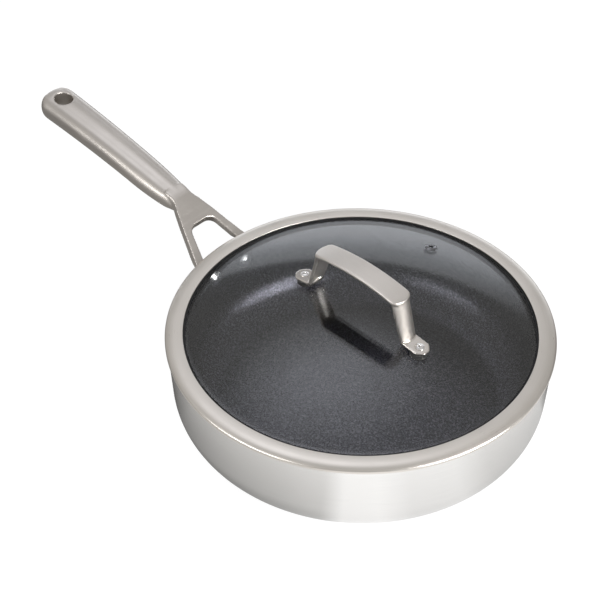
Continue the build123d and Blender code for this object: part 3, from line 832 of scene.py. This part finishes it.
# %% [markdown]
# ## Rivets and washers of the handles
# The long handle's rivets have broad domed heads inside the pan and low formed tails outside. The lid's
# rivets are small and hollow; a soft washer lies on each side of the glass, and a steel one under the
# lower washer spreads the load. Their outlines are drawn once, with height counted from the seat.

# %% Handle rivets
def cap(radius, height, seat, way, steps=8):
    """Arc of a low dome from its edge to its top; way is 1 for a dome above its seat, -1 for below."""
    sphere = (radius ** 2 + height ** 2) / (2 * height)
    reach = asin(radius / sphere)
    angles = [reach * (1 - step / steps) for step in range(steps + 1)]
    return [(sphere * sin(angle), seat + way * (sphere * cos(angle) - sphere + height)) for angle in angles]


rivet_height = 48.5
rivet_spacing = 29.5
rivet_hole = 3.0
head_radius = 5.5
head_edge = 0.25
head_gap = 0.15
head_cap = (5.4, 2.35)
tail_cap = (4.4, 1.3)
tail_seat = 4.05
rivet_radius = wall_radius(rivet_height, 0)
rivet_swing = asin(rivet_spacing / 2 / rivet_radius)
rivet_seats = []
for side in (-1, 1):
    outwards = Vector((-cos(rivet_swing), -side * sin(rivet_swing), 0))
    facing = outwards * cos(wall_taper) - Vector((0, 0, sin(wall_taper)))
    rivet_seats.append((outwards * rivet_radius + Vector((0, 0, rivet_height)), facing))
head_seat = -liner_depth - head_gap
rivet_outline = [(rivet_hole, head_seat), (head_radius, head_seat), (head_radius, head_seat - head_edge)]
rivet_outline += cap(*head_cap, head_seat - head_edge, -1)
rivet_outline += list(reversed(cap(*tail_cap, tail_seat, 1))) + [(rivet_hole, tail_seat)]
handle_rivets = fasteners("handle_rivets", rivet_outline, rivet_seats, rivet_steel, "pan", 4,
                          *both("handle_rivet"))

# %% Lid rivets and washers
foot_reach = 53.0


def dome_seat(x, y):
    """Point and facing direction on top of the glass."""
    distance = hypot(x, y)
    height = sphere_height + sqrt(sphere_radius ** 2 - distance ** 2)
    return Vector((x, y, height)), Vector((x, y, height - sphere_height)).normalized()


def ring_outline(inside, outside, low, high, rounding):
    """Flat ring whose outer edge bulges softly."""
    middle = (low + high) / 2
    half = (high - low) / 2
    edge = arc((outside - rounding, middle), (rounding, half), -90, 90, 6)
    return [(inside, low)] + edge + [(inside, high)]


foot_seats = [dome_seat(-foot_reach, 0), dome_seat(foot_reach, 0)]
upper_thickness = 1.5
lower_thickness = 1.0
backing_thickness = 0.8
foot_thickness = 2.2
bore = 0.9
glass_gap = 0.06
washer_hole, washer_radius = 3.0, 6.0
backing_hole, backing_radius = 2.5, 5.0
head = upper_thickness + foot_thickness
under_glass = -glass_thickness - glass_gap
under_washer = under_glass - lower_thickness
tail = under_washer - backing_thickness
lid_rivet_outline = [(bore, head + 0.55), (bore + 0.35, head + 1.0), (bore + 0.8, head + 1.08),
                     (2.6, head + 0.75), (3.15, head + 0.3), (3.2, head), (2.4, head), (2.4, tail),
                     (3.6, tail), (3.3, tail - 0.45), (2.5, tail - 0.85), (1.6, tail - 1.0),
                     (bore, tail - 0.7)]
lid_rivets = fasteners("lid_rivets", lid_rivet_outline, foot_seats, rivet_steel, "lid", 5,
                       *both("lid_rivet"))
upper_outline = ring_outline(washer_hole, washer_radius, 0.0, upper_thickness, 0.5)
lower_outline = ring_outline(washer_hole, washer_radius, under_washer, under_glass, 0.4)
backing_outline = ring_outline(backing_hole, backing_radius, tail, under_washer, 0.2)
upper_washers = fasteners("upper_washers", upper_outline, foot_seats, washer_rubber, "lid", 6,
                          *both("upper_washer"))
lower_washers = fasteners("lower_washers", lower_outline, foot_seats, washer_rubber, "lid", 7,
                          *both("lower_washer"))
backing_washers = fasteners("backing_washers", backing_outline, foot_seats, rivet_steel, "lid", 8,
                            *both("backing_washer"))

# %% Steam vent
vent_distance = 96.0
vent_bearing = radians(101.2)
vent_seat = dome_seat(vent_distance * cos(vent_bearing), vent_distance * sin(vent_bearing))
vent_outline = [(1.6, 0.55), (2.0, 0.86), (2.6, 0.94), (3.5, 0.72), (4.3, 0.3), (4.65, 0.06), (2.4, 0.06),
                (2.4, under_glass), (3.6, under_glass), (3.3, under_glass - 0.4), (2.4, under_glass - 0.68),
                (1.6, under_glass - 0.4)]
vent_eyelet = fasteners("steam_vent", vent_outline, [vent_seat], shaded_vent_steel, "lid", 9, "vent_eyelet")

# %% [markdown]
# ## Floor, world, panel and lamps
# A plain pale floor carries the shadow. For camera rays most of it is plain white, so the background stays
# clean. Polished steel mirrors the floor round the pan, and in a studio that floor isn't evenly lit: it is
# dim and a little warm at the left, steps up to white in front and falls off again at the right. So what
# glossy rays see of the floor is a glow that depends on the angle round the pan, with a soft contact shade
# close to the base and a fade far away.

# %% Floor finish
floor_finish, tree, shader = new_finish("pale_floor", (0.88, 0.88, 0.88), 0.9)
shader.inputs["Specular IOR Level"].default_value = 0.0
glow_stops = [(0.0, 0.26), (0.075, 0.44), (0.125, 0.54), (0.30, 0.65), (0.38, 0.72), (0.45, 0.81),
              (0.4875, 1.04), (0.55, 1.06), (0.61, 0.97), (0.70, 0.97), (0.775, 0.84), (0.83, 0.82),
              (0.95, 0.80), (1.0, 0.40)]
camera_white = 0.8                # share of the floor that is plain white for the camera
glossy_white = 0.85               # share that is glow for polished steel
camera_level = 1.14
shade_start, shade_end = 0.13, 0.195      # metres from the pan's axis
fade_start, fade_end = 0.24, 0.50
open_floor = 1.12
faded_floor = 0.5
ray = ray_kind(tree)
place = own_place(tree)
across = add_node(tree, "ShaderNodeSeparateXYZ", place, give="X")
away = add_node(tree, "ShaderNodeSeparateXYZ", place, give="Y")
round_pan = maths(tree, "ARCTAN2", across, maths(tree, "MULTIPLY", away, -1.0))
left_to_right = add_node(tree, "ShaderNodeMapRange", value=round_pan, from_min=radians(-60),
                         from_max=radians(140))
front_glow = ramp(tree, left_to_right, glow_stops)
shade_floor = add_node(tree, "ShaderNodeMath", front_glow, 1.45, -0.55, operation="MULTIPLY_ADD",
                       use_clamp=True)
from_axis = length_of(tree, place)
near_pan = add_node(tree, "ShaderNodeMapRange", value=from_axis, from_min=shade_start,
                    from_max=shade_end, to_min=shade_floor, to_max=open_floor)
far_fade = add_node(tree, "ShaderNodeMapRange", value=from_axis, from_min=fade_start, from_max=fade_end,
                    to_min=1.0, to_max=faded_floor)
mirrored_level = maths(tree, "MULTIPLY", maths(tree, "MULTIPLY", near_pan, far_fade), front_glow)
mirrored_colour = mixed(tree, front_glow, (1.0, 0.965, 0.91), WHITE)
glow_colour = mixed(tree, ray["Is Camera Ray"], mirrored_colour, WHITE)
glow_level = add_node(tree, "ShaderNodeMix", ray["Is Camera Ray"], None, mirrored_level, camera_level,
                      data_type="FLOAT")
glow = add_node(tree, "ShaderNodeEmission", glow_colour, glow_level)
share = maths(tree, "ADD", maths(tree, "MULTIPLY", ray["Is Camera Ray"], camera_white),
              maths(tree, "MULTIPLY", ray["Is Glossy Ray"], glossy_white))
show(tree, add_node(tree, "ShaderNodeMixShader", share, shader.outputs["BSDF"], glow))
print("floor finish has", len(tree.nodes), "nodes")


# %% Floor
def square_sheet(name, half, finish):
    """Flat square round its own origin."""
    mesh = bpy.data.meshes.new(name)
    mesh.from_pydata([(-half, -half, 0), (half, -half, 0), (half, half, 0), (-half, half, 0)], [],
                     [(0, 1, 2, 3)])
    mesh.materials.append(finish)
    return in_scene(name, mesh)


floor_half = 4.0
below_base = 0.0002
floor = square_sheet("studio_floor", floor_half, floor_finish)
floor.location.z = -below_base
print("floor is", 2 * floor_half, "m wide")

# %% [markdown]
# The world is three soft skies, chosen by direction. Behind the pan it is bright up to a low horizon band
# and dim above, and the edge between the two is the pale crescent on the far side of the glass dome. The
# skies at both sides are dim too. For the camera itself the world is white.

# %% World
world = bpy.data.worlds.new("studio_world")
scene.world = world
world.use_nodes = True
tree = world.node_tree
looking = tree.nodes.new("ShaderNodeTexCoord").outputs["Generated"]


def towards(way):
    """How far a ray looks a given way."""
    return add_node(tree, "ShaderNodeVectorMath", looking, way, operation="DOT_PRODUCT", give="Value")


height = towards((-0.112, -0.100, 1.0))             # tilted a little, as the horizon band is
to_right = towards((0.996, 0.087, 0.0))
behind_pan = towards((-0.667, 0.745, 0.0))
backdrop_sky = ramp(tree, height, [(0.16, (0.76, 0.782, 0.82)), (0.25, (0.70, 0.72, 0.757)),
                                   (0.32, (0.545, 0.563, 0.595)), (0.385, (0.49, 0.503, 0.525)),
                                   (0.415, (0.205, 0.208, 0.215)), (0.70, (0.195, 0.194, 0.195)),
                                   (1.0, 0.22)])
right_sky = ramp(tree, height, [(0.20, 0.22), (0.40, (0.25, 0.247, 0.245)), (0.56, (0.26, 0.257, 0.255)),
                                (0.78, (0.28, 0.276, 0.27)), (1.0, 0.28)])
left_sky = ramp(tree, height, [(0.06, (0.10, 0.096, 0.092)), (0.24, (0.25, 0.245, 0.24)),
                               (0.50, (0.24, 0.236, 0.232)), (0.78, (0.30, 0.295, 0.29)), (1.0, 0.28)])
sides = mixed(tree, soft_step(tree, to_right, 0.42, 0.52), left_sky, right_sky)
room = mixed(tree, soft_step(tree, behind_pan, 0.74, 0.93), sides, backdrop_sky)
backdrop = tree.nodes["Background"]
feed(backdrop.inputs["Color"], mixed(tree, ray_kind(tree)["Is Camera Ray"], room, WHITE))
backdrop.inputs["Strength"].default_value = 1.9
print("world has a bright backdrop behind the pan")

# %% [markdown]
# A soft round panel hangs high behind the pan. Only mirrors and glass see it: it gives the glass dome the
# wide cool sheen in which the mirror image of the lid handle stays dark. It fades out towards its edge.

# %% Overhead panel
panel_glow, tree, shader = new_finish("overhead_panel_glow", WHITE, 0.9)
tree.nodes.remove(shader)
panel_stops = [(0.0, 1.05), (0.26, 0.90), (0.38, 0.68), (0.575, 0.46), (0.70, 0.24), (0.82, 0.09),
               (1.0, 0.0)]
panel_radius = 0.62
panel_half = 0.65
panel_distance = 1.3
ray = ray_kind(tree)
outwards = add_node(tree, "ShaderNodeMapRange", value=length_of(tree, own_place(tree)),
                    from_max=panel_radius)
mirrored = maths(tree, "MAXIMUM", ray["Is Glossy Ray"], ray["Is Transmission Ray"])
strength = maths(tree, "MULTIPLY", ramp(tree, outwards, panel_stops), mirrored)
glow = add_node(tree, "ShaderNodeEmission", (0.95, 0.975, 1.06, 1), strength)
clear = add_node(tree, "ShaderNodeBsdfTransparent")
show(tree, add_node(tree, "ShaderNodeAddShader", glow, clear))
overhead_panel = square_sheet("overhead_panel", panel_half, panel_glow)
panel_place = lid_middle + panel_distance * Vector((-0.388, 0.264, 0.883))
overhead_panel.matrix_world = Matrix.Translation(panel_place) @ aimed(panel_place, lid_middle).to_4x4()
print("overhead panel is seen in mirrors only")

# %% [markdown]
# Two long soft lamps stand low on the near side, where the dome can't mirror them for the camera. They draw
# the bright arc on the curve between floor and wall.

# %% Lamps
lamp_distance = 1.2
lamp_height = 0.30


def soft_lamp(name, azimuth, elevation, width, power):
    """Soft lamp aimed at the lid from an azimuth and elevation in degrees."""
    data = bpy.data.lights.new(name, "AREA")
    data.shape = "RECTANGLE"
    data.size = width
    data.size_y = lamp_height
    data.energy = power
    lamp = in_scene(name, data)
    place = lid_middle + lamp_distance * direction(radians(azimuth), radians(elevation))
    lamp.matrix_world = Matrix.Translation(place) @ aimed(place, lid_middle).to_4x4()
    return lamp


key_lamp = soft_lamp("key_lamp", azimuth=96, elevation=21, width=0.75, power=14.0)
fill_lamp = soft_lamp("fill_lamp", azimuth=-12, elevation=22, width=0.85, power=4.5)
print("lamps:", key_lamp.name, fill_lamp.name)

# %% Rendering level
scene.view_settings.view_transform = "Standard"
